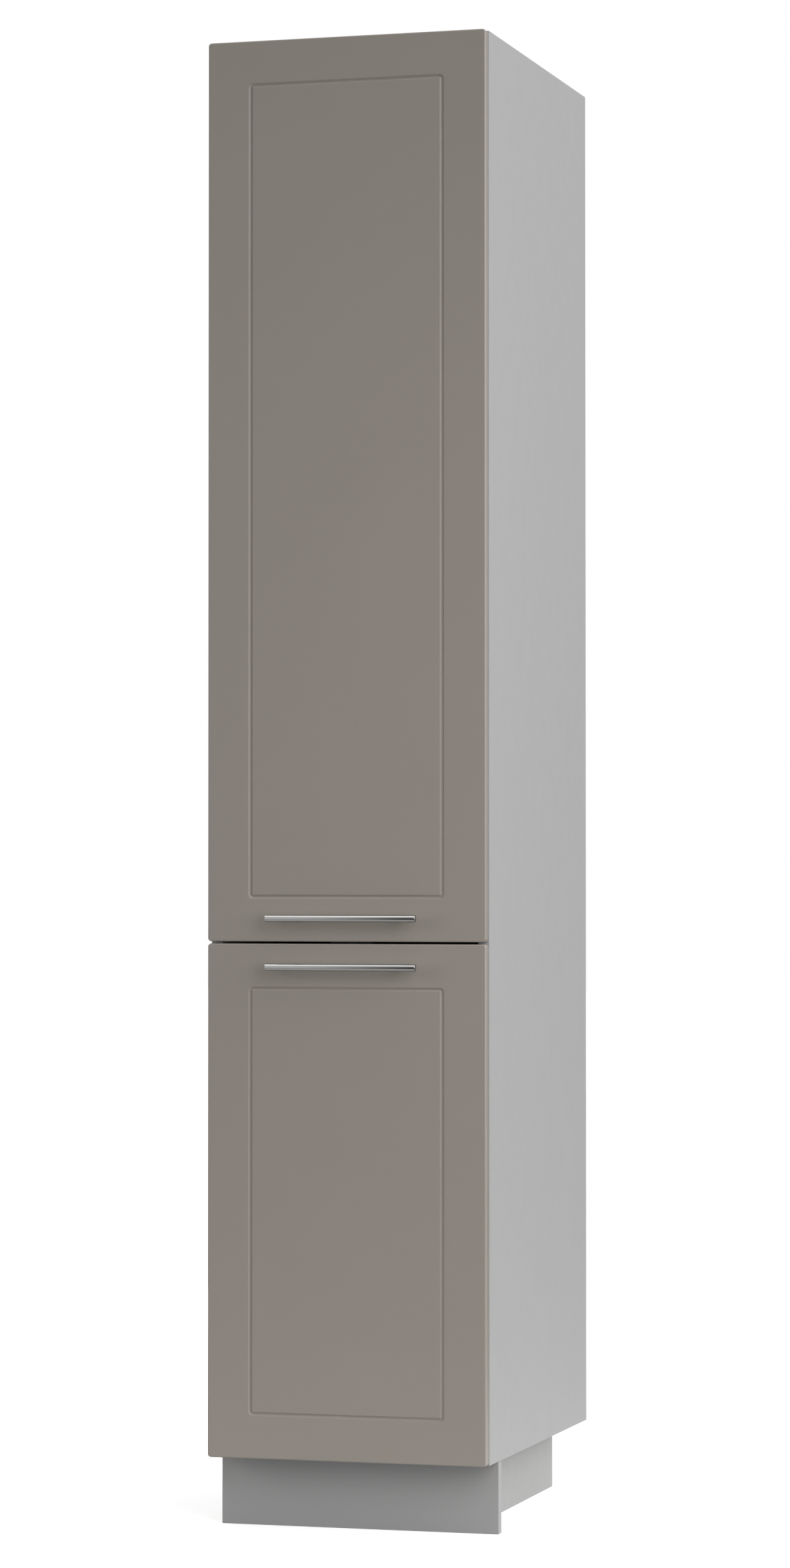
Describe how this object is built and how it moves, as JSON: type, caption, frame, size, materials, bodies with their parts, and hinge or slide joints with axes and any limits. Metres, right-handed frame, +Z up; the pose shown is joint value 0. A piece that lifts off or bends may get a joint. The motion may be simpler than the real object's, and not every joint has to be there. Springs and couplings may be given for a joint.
{
  "type": "pull out larder unit",
  "caption": "Tall narrow kitchen cabinet with grooved fronts and bar handles on one full-height pull-out that carries wire-edged trays.",
  "frame": {"origin": "on the floor, in the middle of the unit's outline seen from above, handles included", "axes": "+X to the right seen from the front, +Y to the back, +Z up"},
  "size_m": [0.4, 0.606, 2.065],
  "materials": {
    "carcass_board": "matt melamine-faced chipboard",
    "back_board": "matt coated hardboard",
    "edge_band": "satin banding",
    "beech": "fluted beech dowel",
    "zinc_fitting": "zinc-plated",
    "bumper_plastic": "clear soft bumper",
    "plinth_board": "matt melamine-faced chipboard",
    "white_plastic": "moulded",
    "black_plastic": "moulded, fine grain",
    "yellow_zinc": "yellow passivated",
    "zinc_sheet": "bright zinc-plated sheet",
    "anodised_aluminium": "anodised, satin",
    "grey_plastic": "moulded",
    "cage_steel": "pressed strip",
    "ball_steel": "polished",
    "frame_coating": "satin graphite powder coat",
    "front_lacquer": "matt lacquered fibreboard, warm grey",
    "handle_steel": "satin brushed",
    "nylon": "natural nylon",
    "tray_chrome": "bright chrome-plated wire",
    "tray_melamine": "pale melamine board"
  },
  "bodies": {
    "cabinet": {"side_left": "carcass_board", "side_right": "carcass_board", "top_panel": "carcass_board", "bottom_panel": "carcass_board", "back_panel": "back_board", "rear_rails": "carcass_board", "edge_bands": "edge_band", "carcass_dowels": "beech", "cam_fittings": "zinc_fitting", "front_bumpers": "bumper_plastic", "plinth_front": "plinth_board", "plinth_side_left": "plinth_board", "plinth_side_right": "plinth_board", "plinth_brackets": "white_plastic", "plinth_clips": "black_plastic", "foot_sockets": "black_plastic", "chipboard_screws": "yellow_zinc", "runner_base": "zinc_sheet", "runner_outer_left": "zinc_sheet", "runner_outer_right": "zinc_sheet", "guide_channel": "anodised_aluminium", "soft_close_unit": "grey_plastic"},
    "pull_out": {"runner_inner_left": "zinc_sheet", "runner_inner_right": "zinc_sheet", "carriage": "zinc_sheet", "carriage_screws": "zinc_fitting", "frame_bottom_tube": "frame_coating", "frame_top_tube": "frame_coating", "front_upright": "frame_coating", "rear_upright": "frame_coating", "tube_plugs": "black_plastic", "front_brackets": "zinc_sheet", "front_screws": "yellow_zinc", "upper_front": "front_lacquer", "lower_front": "front_lacquer", "upper_handle": "handle_steel", "lower_handle": "handle_steel", "guide_block": "black_plastic"},
    "runner_middles": {"runner_middle_left": "zinc_sheet", "runner_middle_right": "zinc_sheet"},
    "outer_cages": {"outer_ball_cages": "cage_steel", "outer_balls": "ball_steel"},
    "inner_cages": {"inner_ball_cages": "cage_steel", "inner_balls": "ball_steel"},
    "left_guide_roller": {"guide_roller_left": "nylon"},
    "right_guide_roller": {"guide_roller_right": "nylon"},
    "tray_1": {"tray_1_wires": "tray_chrome", "tray_1_board": "tray_melamine"},
    "tray_2": {"tray_2_wires": "tray_chrome", "tray_2_board": "tray_melamine"},
    "tray_3": {"tray_3_wires": "tray_chrome", "tray_3_board": "tray_melamine"},
    "tray_4": {"tray_4_wires": "tray_chrome", "tray_4_board": "tray_melamine"},
    "tray_5": {"tray_5_wires": "tray_chrome", "tray_5_board": "tray_melamine"},
    "front_left_foot": {"foot_front_left": "black_plastic"},
    "front_right_foot": {"foot_front_right": "black_plastic"},
    "rear_left_foot": {"foot_rear_left": "black_plastic"},
    "rear_right_foot": {"foot_rear_right": "black_plastic"}
  },
  "joints": [
    {"name": "pull_out_slide", "type": "slide", "parent": "cabinet", "child": "pull_out", "axis": [0, -1, 0], "range_m": [0, 0.48]},
    {"name": "runner_middle_slide", "type": "slide", "parent": "cabinet", "child": "runner_middles", "axis": [0, -1, 0], "range_m": [0, 0.24]},
    {"name": "outer_cage_slide", "type": "slide", "parent": "cabinet", "child": "outer_cages", "axis": [0, -1, 0], "range_m": [0, 0.12]},
    {"name": "inner_cage_slide", "type": "slide", "parent": "cabinet", "child": "inner_cages", "axis": [0, -1, 0], "range_m": [0, 0.36]},
    {"name": "left_roller_turn", "type": "hinge", "parent": "pull_out", "child": "left_guide_roller", "pos_m": [-0.009, 0.239, 2.036], "axis": [0, 0, 1], "range_deg": [-3162, 0]},
    {"name": "right_roller_turn", "type": "hinge", "parent": "pull_out", "child": "right_guide_roller", "pos_m": [0.009, 0.239, 2.036], "axis": [0, 0, 1], "range_deg": [0, 3162]},
    {"name": "tray_1_lift", "type": "slide", "parent": "pull_out", "child": "tray_1", "axis": [0, 0, 1], "range_m": [0, 0.0085]},
    {"name": "tray_2_lift", "type": "slide", "parent": "pull_out", "child": "tray_2", "axis": [0, 0, 1], "range_m": [0, 0.0085]},
    {"name": "tray_3_lift", "type": "slide", "parent": "pull_out", "child": "tray_3", "axis": [0, 0, 1], "range_m": [0, 0.0085]},
    {"name": "tray_4_lift", "type": "slide", "parent": "pull_out", "child": "tray_4", "axis": [0, 0, 1], "range_m": [0, 0.0085]},
    {"name": "tray_5_lift", "type": "slide", "parent": "pull_out", "child": "tray_5", "axis": [0, 0, 1], "range_m": [0, 0.0085]},
    {"name": "front_left_foot_screw", "type": "slide", "parent": "cabinet", "child": "front_left_foot", "axis": [0, 0, -1], "range_m": [-0.005, 0.02]},
    {"name": "front_right_foot_screw", "type": "slide", "parent": "cabinet", "child": "front_right_foot", "axis": [0, 0, -1], "range_m": [-0.005, 0.02]},
    {"name": "rear_left_foot_screw", "type": "slide", "parent": "cabinet", "child": "rear_left_foot", "axis": [0, 0, -1], "range_m": [-0.005, 0.02]},
    {"name": "rear_right_foot_screw", "type": "slide", "parent": "cabinet", "child": "rear_right_foot", "axis": [0, 0, -1], "range_m": [-0.005, 0.02]}
  ],
  "couplings": [
    {"joint": "runner_middle_slide", "follows": "pull_out_slide", "ratio": 0.5},
    {"joint": "outer_cage_slide", "follows": "pull_out_slide", "ratio": 0.25},
    {"joint": "inner_cage_slide", "follows": "pull_out_slide", "ratio": 0.75},
    {"joint": "left_roller_turn", "follows": "pull_out_slide", "rad_per_m": -114.94},
    {"joint": "right_roller_turn", "follows": "pull_out_slide", "rad_per_m": 114.94}
  ]
}
